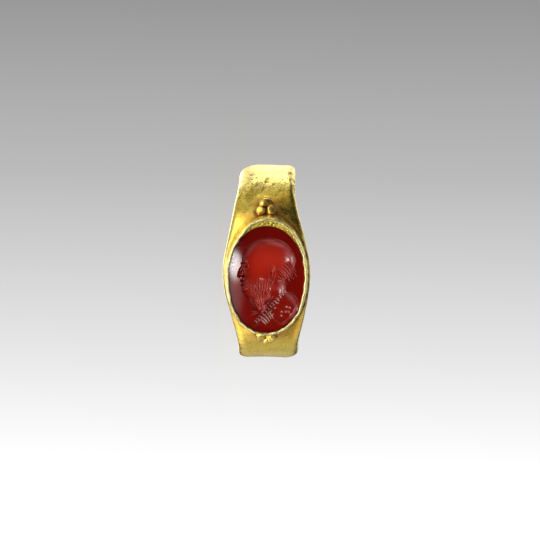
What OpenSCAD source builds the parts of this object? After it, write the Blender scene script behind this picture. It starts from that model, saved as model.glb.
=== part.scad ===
// Finger ring with an engraved oval stone in a raised collar, lying on its side.
// The collar faces -Y, the finger hole runs close to Z, and the edge of the hoop rests on Z = 0.
// Sizes are in millimetres, and angles run round the hoop from the middle of the collar.

/* [Finger hole] */
// Radius of the finger hole
finger_r = 9.6; // [9:0.1:9.8]

/* [Hoop] */
// Radius of the hoop's outer face
hoop_r = 11; // [10.7:0.1:11.3]
// Half the hoop's width beside the collar
front_half_w = 4.93; // [4.8:0.01:5.1]
// Half the hoop's width at the back of the finger
back_half_w = 2.5; // [2.2:0.1:3]
// How far the middle of each shoulder swells out
shoulder_swell = 0.55; // [0:0.05:0.8]
// Height of the low waves that the hammer left
hammer_wave = 0.05; // [0:0.01:0.08]

/* [Collar] */
// Half the width of the collar's crest, across the hoop
crest_a = 4.52; // [4.5:0.01:4.6]
// Half the length of the collar's crest, along the hoop
crest_b = 6.64; // [6.6:0.01:6.7]
// Distance from the finger's axis to the crest
crest_n = 12.1; // [12:0.05:12.3]
// How far the collar's wall leans out from crest to foot
collar_lean = 0.24; // [0.1:0.02:0.3]
// Thickness of the rubbed-over crest
crest_t = 0.13; // [0.1:0.01:0.15]

/* [Globules] */
// Radius of each soldered globule
globule_r = 0.55; // [0.45:0.01:0.6]
// Distance between the two globules beside the collar
globule_pitch = 1.16; // [1.1:0.02:1.3]

/* [Stone] */
// Half the stone's width, across the hoop
stone_a = 4.28; // [4.2:0.01:4.29]
// Half the stone's length, along the hoop
stone_b = 5.98; // [5.8:0.01:6]
// How far the stone sits below the middle of the collar
stone_shift = 0.34; // [0.25:0.01:0.36]
// Distance from the finger's axis to the stone's back
stone_back_n = 10.66; // [10.5:0.01:10.8]
// Distance from the finger's axis to the stone's edge
stone_edge_n = 11.72; // [11.6:0.01:11.8]
// Height of the stone's domed face above its edge
stone_dome = 0.32; // [0.2:0.01:0.4]
// Gap between the stone and its seat
stone_gap = 0.07; // [0.05:0.01:0.1]
// Depth of the engraving, as a share of the depths in its table
engraving = 1; // [0.6:0.1:1.2]

/* [Hidden] */
$fn = 64;

mid_r = (finger_r + hoop_r) / 2;
core_r = finger_r - 1;
side_bevel = 0.2;

// The resting edge lies in one plane, from beside the collar to the back of the hoop.
rest_level = (front_half_w + back_half_w) / 2;
rest_slope = (front_half_w - back_half_w) / (2 * mid_r);
rest_tilt = atan(rest_slope);

// Hoop sections: half widths to the resting and the free side, and how far each outer edge is rounded
at = 0;
rest_w = 1;
free_w = 2;
rest_round = 3;
free_round = 4;
sections = [
    [-180, 2.50, 2.50, 0.9, 0.9],
    [-125, 3.05, 3.10, 1.0, 1.1],
    [ -90, 3.25, 3.62, 1.2, 1.6],
    [ -55, 3.30, 3.60, 1.2, 1.5],
    [ -40, 3.60, 3.92, 0.9, 1.0],
    [ -25, 4.15, 4.40, 0.7, 0.7],
    [ -12, 4.72, 4.78, 0.5, 0.5],
    [   0, 5.06, 5.02, 0.4, 0.4],
    [  12, 4.78, 4.76, 0.5, 0.5],
    [  25, 4.29, 4.24, 0.7, 0.6],
    [  39, 3.87, 3.60, 1.0, 0.7],
    [  51, 3.55, 3.29, 1.3, 0.8],
    [  62, 3.30, 3.24, 1.8, 0.8],
    [  76, 3.14, 3.26, 2.2, 0.9],
    [ 100, 3.12, 3.26, 2.2, 0.9],
    [ 125, 3.05, 3.10, 1.4, 0.9],
    [ 180, 2.50, 2.50, 0.9, 0.9]
];
station_step = 4;
ease = 5;
across = [-1, -0.95, -0.86, -0.72, -0.5, -0.25, 0, 0.25, 0.5, 0.72, 0.86, 0.95, 1];
round_share = 0.5;

// Waves that the hammer left: how many round the hoop, degrees of lean across it, and start
waves = 0;
lean = 1;
start = 2;
hammer_waves = [[5, 150, 0], [11, -210, 40]];

// The swell of a shoulder ends in an arch round the globules.
arch_end = 50;
arch_lean = 6;
arch_blend = 9;

// How far the collar's outline stands in or out of an oval, by the angle round it from the free side
collar_outline = [
    [  0,  0.004],
    [ 46,  0.012],
    [ 90,  0.000],
    [131, -0.030],
    [180,  0.004],
    [224,  0.045],
    [270,  0.004],
    [314,  0.038],
    [340,  0.016],
    [360,  0.004]
];
sector_step = 5;
collar_foot_n = 8;
lip_reach = 0.15;

// Waves of the collar's crest and of its lip, in the same columns
crest_wave = 0.02;
crest_waves = [[4, 0, 20], [9, 0, 0]];
lip_wave = 0.04;
lip_waves = [[13, 0, 0], [17, 0, 60]];

// Globules: angle round the hoop, place across it in pitches, and size as a share of globule_r
angle = 0;
place = 1;
size = 2;
globules = [
    [ 42.3, -0.10, 1.00],
    [ 36.9, -0.55, 0.94],
    [ 37.1,  0.47, 1.04],
    [-38.0, -0.57, 0.92],
    [-38.3,  0.45, 1.06],
    [-42.6, -0.02, 0.80]
];
globule_sink = 0.24;

stone_power = 2.1;
stone_rings = 28;
stone_sector = 3.6;
back_share = 0.95;
cut_sharpness = 7;
margin_share = 0.09;

// Engraving cuts, in millimetres from the middle of the stone: place, half length, half width, turn, depth
x = 0;
y = 1;
long = 2;
wide = 3;
turn = 4;
deep = 5;
head_cuts = [
    [ 0.30,  2.05, 2.95, 2.62,   0, 0.60],
    [-1.30,  1.62, 1.46, 2.00,   6, 0.52],
    [-1.25,  0.20, 1.45, 1.50,   0, 0.50],
    [-0.30, -0.70, 1.90, 1.25, -20, 0.44],
    [ 1.10, -0.70, 1.15, 1.95,   8, 0.42]
];
face_cuts = [
    [-2.55,  1.85, 0.42, 0.20,  25, 0.40],
    [-2.92,  0.98, 0.78, 0.24,  66, 0.36],
    [-3.02,  0.38, 0.24, 0.20,   0, 0.36],
    [-2.62,  0.36, 0.22, 0.18,   0, 0.50],
    [-2.22,  1.36, 0.26, 0.17,   5, 0.62],
    [-2.58, -0.22, 0.38, 0.19, -28, 0.44],
    [-2.62, -0.72, 0.28, 0.15,  -5, 0.42]
];
beard_cuts = [
    [-1.75, -1.15, 1.35, 0.95, -62, 0.46],
    [-1.10, -2.15, 1.75, 0.90, -68, 0.44],
    [-0.20, -1.25, 1.55, 0.85, -95, 0.50]
];
ear_cuts = [
    [ 0.62,  1.10, 0.30, 0.52,   0, 0.72],
    [ 0.52,  0.52, 0.18, 0.16,   0, 0.76]
];
dress_cuts = [
    [ 1.60, -3.05, 1.90, 1.75,   0, 0.36],
    [-0.15, -3.90, 1.75, 1.10,  35, 0.28],
    [ 0.25, -3.10, 2.50, 0.20,  46, 0.52],
    [ 0.70, -3.62, 1.95, 0.16,  46, 0.48],
    [ 1.15, -4.10, 1.30, 0.15,  46, 0.42]
];

// Locks in rows: first and last place, how many, half length, half width, first and last turn, depth
last_x = 2;
last_y = 3;
count = 4;
lock_long = 5;
lock_wide = 6;
first_turn = 7;
last_turn = 8;
lock_deep = 9;
lock_rows = [
    [-1.90, -0.60,  0.10,  0.60, 5, 0.58, 0.16,  -70, -100, 0.62],
    [-2.10, -1.50,  0.10, -0.35, 5, 0.60, 0.16,  -62, -106, 0.60],
    [-1.75, -2.40, -0.20, -1.35, 4, 0.60, 0.16,  -60, -108, 0.56],
    [-1.20, -3.02, -0.55, -2.45, 2, 0.56, 0.15,  -62, -100, 0.52],
    [ 1.20,  1.15,  2.75,  0.95, 4, 0.58, 0.16, -100,  -50, 0.68],
    [ 1.10,  0.10,  2.15, -0.15, 3, 0.56, 0.16, -100,  -62, 0.58]
];
locks = [
    for (row = lock_rows)
        for (i = [0:row[count] - 1])
            let (f = i / (row[count] - 1))
                [
                    row[x] + f * (row[last_x] - row[x]),
                    row[y] + f * (row[last_y] - row[y]),
                    row[lock_long],
                    row[lock_wide],
                    row[first_turn] + f * (row[last_turn] - row[first_turn]),
                    row[lock_deep]
                ]
];
cuts = concat(head_cuts, face_cuts, beard_cuts, ear_cuts, dress_cuts, locks);

function column(table, c) = [for (row = table) [row[at], row[c]]];
function eased(a, table) = (lookup(a - ease, table) + 2 * lookup(a, table) + lookup(a + ease, table)) / 4;
function ramp(v) = let (c = min(1, max(0, v))) c * c * (3 - 2 * c);
function total(list, i = 0, sum = 0) = i == len(list) ? sum : total(list, i + 1, sum + list[i]);
function ripple(a, f, table) = total([for (w = table) sin(w[waves] * a + w[lean] * f + w[start])]);

// Half width of the hoop at one angle, to the resting side (-1) or the free side (1)
function plane_w(a) = rest_level + rest_slope * mid_r * cos(a);
function half_w(a, side) =
    side < 0 ? min(plane_w(a), eased(a, column(sections, rest_w))) : eased(a, column(sections, free_w));

// Radius of the outer face at one angle, f = -1 to 1 across it
function edge_drop(a, f) =
    let (
        edge = eased(a, column(sections, f < 0 ? rest_round : free_round)),
        inside = (1 - abs(f)) * half_w(a, f),
        share = max(0, 1 - inside / edge)
    )
        round_share * edge * (1 - sqrt(1 - share * share));
function swell(a, f) =
    shoulder_swell * (1 - f * f) * ramp((arch_end - arch_lean * f * f - abs(a)) / arch_blend);
function hammered(a, f) = hammer_wave / 2 * ripple(a, f, hammer_waves);
function skin_r(a, f) = hoop_r + swell(a, f) + hammered(a, f) - edge_drop(a, f);

// Place in the ring's own frame from the distance towards the viewer, up the hoop and across it
function spot(n, u, r) = [-u, -n, r];
function on_hoop(a, radius, r) = spot(radius * cos(a), radius * sin(a), r);

function hoop_section(a) =
    let (low = half_w(a, -1), high = half_w(a, 1))
        concat(
            [on_hoop(a, core_r, side_bevel - low), on_hoop(a, finger_r + side_bevel, side_bevel - low)],
            [on_hoop(a, mid_r, -low)],
            [for (f = across) on_hoop(a, skin_r(a, f), f * ((f < 0 ? low : high) - side_bevel / 4))],
            [on_hoop(a, mid_r, high)],
            [on_hoop(a, finger_r + side_bevel, high - side_bevel), on_hoop(a, core_r, high - side_bevel)]
        );

// Point of an oval, its outline raised to a power and stretched by a share
function signed(v, power) = sign(v) * pow(abs(v), 2 / power);
function oval(t, a, b, power, stretch) =
    [a * (1 + stretch) * signed(cos(t), power), b * (1 + stretch) * signed(sin(t), power)];
function crest_oval(t, out) = oval(t, crest_a + out, crest_b + out, 2, lookup(t, collar_outline));
function stone_oval(t, out) = oval(t, stone_a + out, stone_b + out, stone_power, 0) - [0, stone_shift];
function crest_bump(t) = crest_wave * ripple(t, 0, crest_waves);
function lip_bump(t) = lip_wave * ripple(t, 0, lip_waves);

// Rows of the collar from foot to crest and down the rubbed-over lip, over the seat
function collar_row(level, t) =
    level == 0 ? [each crest_oval(t, collar_lean), collar_foot_n] :
    level == 1 ? [each crest_oval(t, 0), crest_n - crest_t + crest_bump(t)] :
    level == 2 ? [each crest_oval(t, -crest_t / 2), crest_n + crest_bump(t)] :
    level == 3 ? [each crest_oval(t, -crest_t), crest_n - crest_t / 2 + crest_bump(t)] :
    level == 4 ? lip_middle(t) :
    [each stone_oval(t, -lip_reach), stone_edge_n];
function lip_middle(t) =
    let (
        top = crest_oval(t, -crest_t),
        foot = stone_oval(t, -lip_reach),
        width = norm(top - foot)
    )
        [
            each (top + foot) / 2,
            (crest_n + stone_edge_n) / 2 + lip_bump(t) * min(1, width)
        ];
function raised(p) = spot(p[2], p[1], p[0]);

// Faces between closed rows of points, m to a row
function band_faces(rows, m) =
    [
        for (i = [0:rows - 2])
            for (j = [0:m - 1])
                let (k = (j + 1) % m, a = i * m + j, b = i * m + k)
                    each [[a, a + m, b], [b, a + m, b + m]]
    ];
function cap_faces(first, m, tip, out) =
    [for (j = [0:m - 1]) let (a = first + j, b = first + (j + 1) % m) out ? [a, tip, b] : [b, tip, a]];

// Depth of the engraving at one place of the stone
function cut_depth(px, py, c) =
    let (
        dx = px - c[x],
        dy = py - c[y],
        along = (dx * cos(c[turn]) + dy * sin(c[turn])) / c[long],
        off = (dy * cos(c[turn]) - dx * sin(c[turn])) / c[wide],
        left = 1 - along * along - off * off
    )
        left > 0 ? c[deep] * sqrt(left) : 0;
function engraved(px, py) =
    engraving * pow(total([for (c = cuts) pow(cut_depth(px, py, c), cut_sharpness)]), 1 / cut_sharpness);
function stone_face(t, ring) =
    let (
        s = ring / stone_rings,
        p = oval(t, stone_a * s, stone_b * s, stone_power, 0),
        rim = min(1, (1 - s) / margin_share)
    )
        [p[0], p[1] - stone_shift, stone_edge_n + stone_dome * (1 - s * s) - rim * engraved(p[0], p[1])];

module hoop_skin() {
    stations = [for (a = [-180:station_step:179]) hoop_section(a)];
    m = len(stations[0]);
    n = len(stations);
    faces = [
        for (i = [0:n - 1])
            for (j = [0:m - 1])
                let (
                    k = (j + 1) % m,
                    here = i * m,
                    next = (i + 1) % n * m
                )
                    each [[here + j, next + j, here + k], [here + k, next + j, next + k]]
    ];
    polyhedron([for (s = stations) each s], faces);
}

module collar() {
    m = 360 / sector_step;
    rows = 6;
    points = [for (level = [0:rows - 1]) for (i = [0:m - 1]) raised(collar_row(level, i * sector_step))];
    foot = raised([0, 0, collar_foot_n]);
    top = raised([0, -stone_shift, stone_edge_n]);
    faces = concat(
        band_faces(rows, m),
        cap_faces(0, m, rows * m, false),
        cap_faces((rows - 1) * m, m, rows * m + 1, true)
    );
    polyhedron(concat(points, [foot, top]), faces);
}

// The seat that is cut out for the stone, drawn flat and stood up facing the viewer
module seat() {
    multmatrix([[0, -1, 0, 0], [0, 0, -1, 0], [1, 0, 0, 0]])
        translate([0, 0, stone_back_n - stone_gap])
            linear_extrude(crest_n)
                polygon([for (t = [0:stone_sector:359]) stone_oval(t, stone_gap)]);
}

module globule(g) {
    f = g[place] * globule_pitch / half_w(g[angle], g[place]);
    r = globule_r * g[size];
    translate(on_hoop(g[angle], skin_r(g[angle], f) + r - globule_sink, g[place] * globule_pitch)) sphere(r);
}

module gold_ring() color("gold") at_rest() difference() {
    union() {
        hoop_skin();
        collar();
        for (g = globules) globule(g);
    }
    cylinder(h = 4 * front_half_w, r = finger_r, center = true);
    seat();
}

module intaglio() color("firebrick") at_rest() {
    m = 360 / stone_sector;
    face = [for (ring = [stone_rings:-1:1]) for (i = [0:m - 1]) raised(stone_face(i * stone_sector, ring))];
    back = [
        for (i = [0:m - 1])
            let (p = stone_oval(i * stone_sector, 0) + [0, stone_shift])
                raised([p[0] * back_share, p[1] * back_share - stone_shift, stone_back_n])
    ];
    middle = raised(stone_face(0, 0));
    back_middle = raised([0, -stone_shift, stone_back_n]);
    rows = stone_rings + 1;
    faces = concat(
        band_faces(rows, m),
        cap_faces(0, m, rows * m, false),
        cap_faces((rows - 1) * m, m, rows * m + 1, true)
    );
    polyhedron(concat(back, face, [back_middle, middle]), faces);
}

// Lay the ring on its resting edge, with the middle of its box over the origin.
module at_rest() {
    front = crest_n * cos(rest_tilt) + crest_a * sin(rest_tilt);
    back = hoop_r * cos(rest_tilt) + (back_half_w - sections[0][free_round]) * sin(rest_tilt);
    translate([0, (front - back) / 2, rest_level * cos(rest_tilt)]) rotate([-rest_tilt, 0, 0]) children();
}

gold_ring();
intaglio();
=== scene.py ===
import math

import bpy
import numpy as np
from mathutils import Matrix, Vector


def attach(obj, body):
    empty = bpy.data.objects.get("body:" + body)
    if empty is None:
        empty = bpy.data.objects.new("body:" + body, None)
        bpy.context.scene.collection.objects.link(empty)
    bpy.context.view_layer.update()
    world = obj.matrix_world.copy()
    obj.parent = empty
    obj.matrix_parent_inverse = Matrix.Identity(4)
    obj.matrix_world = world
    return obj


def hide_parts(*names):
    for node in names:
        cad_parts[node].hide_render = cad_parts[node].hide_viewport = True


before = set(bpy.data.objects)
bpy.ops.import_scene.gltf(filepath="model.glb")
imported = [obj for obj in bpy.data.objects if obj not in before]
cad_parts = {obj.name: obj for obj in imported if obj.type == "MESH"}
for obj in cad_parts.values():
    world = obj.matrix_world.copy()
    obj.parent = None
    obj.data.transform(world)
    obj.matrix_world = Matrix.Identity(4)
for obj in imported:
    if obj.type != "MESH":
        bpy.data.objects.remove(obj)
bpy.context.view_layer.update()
print("1. the packed ring is loaded")

# The ring's own measures, in millimetres, as in the part's source
ring = {
    "fingerRadius": 9.6,
    "hoopRadius": 11.0,
    "frontHalfWidth": 4.93,
    "backHalfWidth": 2.5,
    "backRounding": 0.9,  # of the edges at the back
    "crestAcross": 4.52,  # half the collar's crest, across the hoop
    "crestAlong": 6.64,
    "crestLevel": 12.1,  # from the finger's axis
    "stoneAcross": 4.28,
    "stoneAlong": 5.98,
    "stoneShift": 0.34,  # the stone sits this far below the collar's middle
    "stoneEdgeLevel": 11.72,
    "stoneBackLevel": 10.66,
    "stoneDome": 0.32,
    "stoneSquareness": 2.1,  # 2 is a plain oval
}
middleRadius = (ring["fingerRadius"] + ring["hoopRadius"]) / 2
restLevel = (ring["frontHalfWidth"] + ring["backHalfWidth"]) / 2
restSlope = (ring["frontHalfWidth"] - ring["backHalfWidth"]) / (2 * middleRadius)
restTilt = math.atan(restSlope)
tiltCos, tiltSin = math.cos(restTilt), math.sin(restTilt)
backEdge = ring["backHalfWidth"] - ring["backRounding"]
restShift = (
    ring["crestLevel"] * tiltCos + ring["crestAcross"] * tiltSin
    - ring["hoopRadius"] * tiltCos - backEdge * tiltSin
) / 2
restLift = restLevel * tiltCos


def fromRing(towards, up, right):  # millimetres in the ring's own frame to metres on the floor
    y = -towards * tiltCos + right * tiltSin + restShift
    z = towards * tiltSin + right * tiltCos + restLift
    return np.stack([-up, y, z], -1) / 1000


def ease(v):
    v = np.clip(v, 0, 1)
    return v * v * (3 - 2 * v)


def rise(v, start, length):  # eases from 0 at the start to 1 a length further on
    return ease((v - start) / length)


def stretchAt(angle, middle, reach):  # 1 along a stretch of the hoop and a soft end to it
    return ease(1.6 - np.abs(angle - middle) / reach)


def closeTo(distance, reach):  # 1 on a thing, falling off outside it
    return np.exp(-(np.maximum(distance, 0) / reach) ** 2)


def ripple(angle, lean, waves):  # each wave: how many round, degrees of lean, start
    return sum(np.sin(np.radians(w[0] * angle + w[1] * lean + w[2])) for w in waves)


def unevenness(angle, along, seed, count, turns, pitch):  # smooth random waves, closed all round
    draw = np.random.default_rng(seed)
    total = np.zeros(np.broadcast(angle, along).shape)
    for _ in range(count):
        k = int(draw.integers(turns[0], turns[1]))
        m = draw.uniform(-360 / pitch, 360 / pitch)
        total += np.sin(np.radians(k * angle + m * along + draw.uniform(0, 360)))
    return total / math.sqrt(count)


# ---- hoop
hoop = {
    "stations": 660,
    "points": 118,
    # angle round from the middle of the collar, half widths to the resting and free side, edge roundings
    "sections": [
        [-180, 2.50, 2.50, 0.9, 0.9], [-125, 3.05, 3.10, 1.0, 1.1],
        [-90, 3.25, 3.62, 1.2, 1.6], [-55, 3.30, 3.60, 1.2, 1.5],
        [-40, 3.60, 3.92, 0.9, 1.0], [-25, 4.15, 4.40, 0.7, 0.7],
        [-12, 4.72, 4.78, 0.5, 0.5], [0, 5.06, 5.02, 0.4, 0.4],
        [12, 4.78, 4.76, 0.5, 0.5], [25, 4.29, 4.24, 0.7, 0.6],
        [39, 3.87, 3.60, 1.0, 0.7], [51, 3.55, 3.29, 1.3, 0.8],
        [62, 3.30, 3.24, 1.8, 0.8], [76, 3.14, 3.26, 2.2, 0.9],
        [100, 3.12, 3.26, 2.2, 0.9], [125, 3.05, 3.10, 1.4, 0.9],
        [180, 2.50, 2.50, 0.9, 0.9],
    ],
    "easing": [(-6, 1), (-3, 2), (0, 3), (3, 2), (6, 1)],  # steps and weights that smooth the table
    "outerTurn": 125,  # degrees about the section: the skin ends here
    "sideTurn": 152,  # and the side wall here
    "edgeCrowding": 0.25,  # how much closer the points lie towards the edges
    "roundShare": 0.5,  # depth of an edge rounding for its width
    "swell": 0.45,  # height of the shoulders, which end in an arch
    "archEnd": 55,
    "archLean": 6,
    "archBlend": 20,
    "hammerWave": 0.025,
    "hammerWaves": [(5, 150, 0), (11, -210, 40)],
    "dentDepth": 0.016,
    # dents: share of the depth, seed, how many waves, how many round, pitch across
    "dents": [(1.0, 11, 26, (6, 30), 2.6), (0.4, 12, 26, (24, 70), 1.1)],
    "edgeWear": 0.07,
    "edgeWaves": (5, 10, (9, 60), 90),
    "edgeWearMost": 1.6,
    "restingEdgeShare": 0.5,  # how worn the resting edge is beside the free one
    "calmEdgeShare": 0.4,  # and the edges away from the worn stretch
    "edgeFrom": (0.88, 0.12),  # where it starts across the hoop, and how soon it is full
    # stretches with a finish of their own: middle and reach, degrees round
    "wornEdges": (60, 20),
    "smoothed": (68, 12),
    "pitted": (62, 13),
    # the rubbed stretch and the edges are painted paler: wear and painted highlight
    "rubbed": (70, 11),
    "pittedElsewhere": 0.08,
    "rubbedShare": 0.3,
    "rubbedEdgeShare": 0.7,
    "rubbedEdgeFrom": (0.9, 0.1),
    "sideBevel": 0.2,
    "sideBevelFrom": (0.72, 0.28),
    "holeClearance": 0.02,
    "pocketLevel": 10.45,  # the floor under the stone
    "pocketArch": 0.045,
    "pocketRadius": 9.8,
    "pocketInset": 0.1,
    "pocketSlope": 0.25,
    "pocketEnd": 60,
    "hardEdge": 50,  # faces that meet more sharply aren't smoothed
    # pits: angle round, place across, radius, depth
    "pits": [
        [72.1, -1.78, 0.16, 0.09], [67.8, -1.15, 0.13, 0.08], [66.0, 0.11, 0.12, 0.08],
        [63.4, -0.06, 0.13, 0.08], [59.9, -1.03, 0.12, 0.07], [57.1, -2.06, 0.13, 0.08],
        [55.3, -2.52, 0.14, 0.09], [58.0, -3.05, 0.16, 0.10], [54.5, -3.08, 0.16, 0.10],
        [56.2, -0.34, 0.10, 0.06], [60.4, 0.80, 0.12, 0.08], [55.3, 1.60, 0.12, 0.08],
        [55.3, 2.00, 0.11, 0.08], [73.5, 2.64, 0.18, 0.07], [66.0, 3.10, 0.13, 0.09],
        [63.2, 3.18, 0.12, 0.10], [60.6, 3.08, 0.13, 0.08], [57.8, 3.16, 0.12, 0.10],
        [54.8, 3.18, 0.14, 0.09], [51.6, 3.26, 0.12, 0.08], [49.4, 3.34, 0.12, 0.08],
    ],
    "darkPitDepth": 0.07,  # a pit this deep is all dark
    "pitFade": 6,  # pits fade over this many degrees past the skin
    "scatteredPits": 80,
    "scatterSeed": 21,
    "scatterAngles": (32, 328),
    "scatterAcross": (-3.0, 3.0),
    "scatterRadii": (0.09, 0.13),
    "scatterDepths": (0.01, 0.03),
}
sections = np.array(hoop["sections"])


def alongSections(angle, column):
    total = sum(weight for _, weight in hoop["easing"])
    return sum(
        weight * np.interp(angle + step, sections[:, 0], sections[:, column])
        for step, weight in hoop["easing"]
    ) / total


def halfWidth(angle, side):  # side is -1 for the resting edge and 1 for the free one
    plane = restLevel + restSlope * middleRadius * np.cos(np.radians(angle))
    resting = np.minimum(plane, alongSections(angle, 1))
    return np.where(side < 0, resting, alongSections(angle, 2))


def skinRadius(angle, f):  # f runs from -1 to 1 across the hoop
    edge = np.where(f < 0, alongSections(angle, 3), alongSections(angle, 4))
    share = np.clip(1 - (1 - np.abs(f)) * halfWidth(angle, f) / edge, 0, 1)
    drop = hoop["roundShare"] * edge * (1 - np.sqrt(1 - share * share))
    arch = (hoop["archEnd"] - hoop["archLean"] * f * f - np.abs(angle)) / hoop["archBlend"]
    swell = hoop["swell"] * (1 - f * f) * ease(arch)
    return ring["hoopRadius"] + swell + hoop["hammerWave"] * ripple(angle, f, hoop["hammerWaves"]) - drop


# ---- ovals of the collar and the stone
collar = {
    "sectors": 480,
    "points": 64,
    # angle round from the free side, and how far the outline stands in or out there
    "outline": [
        [0, 0.004], [46, 0.012], [90, 0.0], [131, -0.030], [180, 0.004],
        [224, 0.045], [270, 0.004], [314, 0.038], [340, 0.016], [360, 0.004],
    ],
    "rows": (18, 10, 24, 5),  # of points on the wall, the crest, the lip and the seat
    "lean": 0.24,
    "wallDent": 0.014,
    "wallWaves": (31, 20, (8, 40), 0.6),  # seed, how many waves, how many round, pitch
    "crest": 0.28,  # width
    "crestWave": 0.017,
    "crestWaves": [(4, 0, 20), (9, 0, 0), (23, 0, 70)],
    "wobble": 0.021,
    "wobbleWaves": [(7, 0, 10), (12, 0, 140), (19, 0, 60), (31, 0, 200)],
    "lipWave": 0.055,
    "lipWaves": (41, 30, (14, 70), 0.7),
    "wideLip": 0.5,  # where the lip is narrower, its marks are weaker
    "lipEnd": 0.01,  # above the stone's edge
    "gap": 0.045,  # between the lip and the stone
    "seatDepth": 0.75,
    "backLevel": 10.2,
    "notchLevel": 0.2,  # marks this much below the middle are dark
    "notchAtCrest": 0.7,  # more of them are beside the crest
    "notchReach": 0.35,
    # dirt and painted shade on the lip where it meets the stone
    "lipGrime": 0.7,
    "lipGrimeFrom": (0.8, 0.2),
    "hardEdge": 55,
}
outline = np.array(collar["outline"])


def oval(angle, across, along, power):
    c, s = np.cos(np.radians(angle)), np.sin(np.radians(angle))
    bend = 2 / power
    return across * np.sign(c) * np.abs(c) ** bend, along * np.sign(s) * np.abs(s) ** bend


def crestOval(angle, out):
    stretch = 1 + np.interp(angle % 360, outline[:, 0], outline[:, 1])
    right, up = oval(angle, ring["crestAcross"] + out, ring["crestAlong"] + out, 2)
    return right * stretch, up * stretch


def stoneOval(angle, out):
    right, up = oval(angle, ring["stoneAcross"] + out, ring["stoneAlong"] + out, ring["stoneSquareness"])
    return right, up - ring["stoneShift"]


def outsideCrest(right, up):  # distance outside the collar's crest line, negative inside
    angle = np.degrees(np.arctan2(up / ring["crestAlong"], right / ring["crestAcross"]))
    edgeRight, edgeUp = crestOval(angle, 0.0)
    reach, edge = np.hypot(right, up), np.hypot(edgeRight, edgeUp)
    across = ring["crestAcross"] * np.sin(np.radians(angle))
    along = ring["crestAlong"] * np.cos(np.radians(angle))
    return (reach - edge) * np.hypot(across, along) / np.maximum(np.abs(across) + np.abs(along), 1e-6)


# ---- globules
globules = {
    "radius": 0.58,
    "pitch": 1.16,
    "sink": 0.24,
    "flat": 0.86,  # height for its width
    "facets": 6,  # the worn top first, then places where the sides are knocked flat
    "topSlant": 0.28,  # radians off the top
    "sideSlant": 0.95,
    "facetStep": 1.26,  # radians round from one facet to the next
    "ballStep": 2.4,  # and from one globule to the next
    "worn": 0.80,  # share of the radius above which the top is rubbed flat
    "sidesWorn": 0.08,  # the sides less by this
    "wornWave": 0.07,
    "wornShare": 0.9,  # how flat a facet is
    "lumps": (0.055, 0.05),
    "crevice": (0.50, 0.22, -0.10, 0.30),  # level of the dirt and painted shade on the globule's lower side, its slant across (more towards the free side) and along, and its fade
    "film": (0.80, 0.2, 0.6, 0.9),  # level, slant across, fade and share
    "rubbed": (0.3, 0.4, 0.2),  # level, fade and share of the paler top, wear and painted highlight
    "hardEdge": 60,
    # angle round the hoop, place across in pitches, size, and stretch across and along the hoop
    "places": [
        [42.4, -0.10, 1.00, 1.42, 0.98], [36.9, -0.55, 0.94, 1.10, 1.34],
        [37.1, 0.47, 1.04, 1.00, 1.24], [-38.0, -0.57, 0.92, 1.12, 1.06],
        [-38.3, 0.45, 1.06, 1.10, 1.02], [-42.6, -0.02, 0.80, 1.25, 1.05],
    ],
}


def globulePlaces():  # angle, right, radius from the axis and size of each
    made = []
    for angle, place, size, _, _ in globules["places"]:
        right = place * globules["pitch"]
        f = right / float(halfWidth(angle, place))
        r = globules["radius"] * size
        made.append((angle, right, float(skinRadius(angle, f)) + r - globules["sink"], r))
    return made


# ---- dirt and painted shade in the corners, and a film round them
tarnish = {
    "frontEnd": 75,  # degrees round the hoop
    "footReach": 0.07,  # of dirt and painted shade along the hoop from the collar's foot
    "wallReach": 0.10,  # and up the collar's wall
    "restingShare": 0.3,  # what is left of it on the resting side
    "freeFrom": (-1.5, 3),
    "filmShare": 0.6,
    "filmReach": 1.1,
    "wallFilmShare": 0.7,
    "wallFilmReach": 0.6,
    "shoulderFrom": (4.4, 1.8),  # the film lies on the shoulders, not beside the stone
    "globuleReach": 0.30,
    "globuleFilmReach": 0.9,
}


# painted shade: the corners' dark is weaker on the resting side, where the light falls, and full on the free
# side
def towardsFree(right):
    return tarnish["restingShare"] + (1 - tarnish["restingShare"]) * rise(right, *tarnish["freeFrom"])


def onShoulders(up):
    return rise(np.abs(up), *tarnish["shoulderFrom"])


# ---- mesh helpers
def addPrimitive(operator, name, **sizes):
    bpy.ops.object.select_all(action="DESELECT")
    operator(**sizes)
    piece = bpy.context.object
    piece.name = piece.data.name = name
    return piece


def pointsOf(piece):
    flat = np.empty(len(piece.data.vertices) * 3)
    piece.data.vertices.foreach_get("co", flat)
    return flat.reshape(-1, 3)


def movePoints(piece, points):
    piece.data.vertices.foreach_set("co", points.astype(np.float32).ravel())
    piece.data.update()


def setMasks(piece, **masks):
    for name, values in masks.items():
        layer = piece.data.attributes.new(name, "FLOAT", "POINT")
        layer.data.foreach_set("value", np.clip(values, 0, 1).astype(np.float32))


def closeAndSmooth(piece, angle):  # merge what meets, turn the faces outwards, smooth all but hard edges
    bpy.ops.object.select_all(action="DESELECT")
    piece.select_set(True)
    bpy.context.view_layer.objects.active = piece
    bpy.ops.object.mode_set(mode="EDIT")
    bpy.ops.mesh.select_all(action="SELECT")
    bpy.ops.mesh.remove_doubles(threshold=1e-6)
    bpy.ops.mesh.normals_make_consistent(inside=False)
    bpy.ops.object.mode_set(mode="OBJECT")
    bpy.ops.object.shade_smooth_by_angle(angle=math.radians(angle))


def torusAngles(piece, radius):  # how far round and how far about its section each point of a torus lies
    x, y, z = pointsOf(piece).T
    return np.degrees(np.arctan2(y, x)), np.degrees(np.arctan2(z, np.hypot(x, y) - radius))


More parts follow.
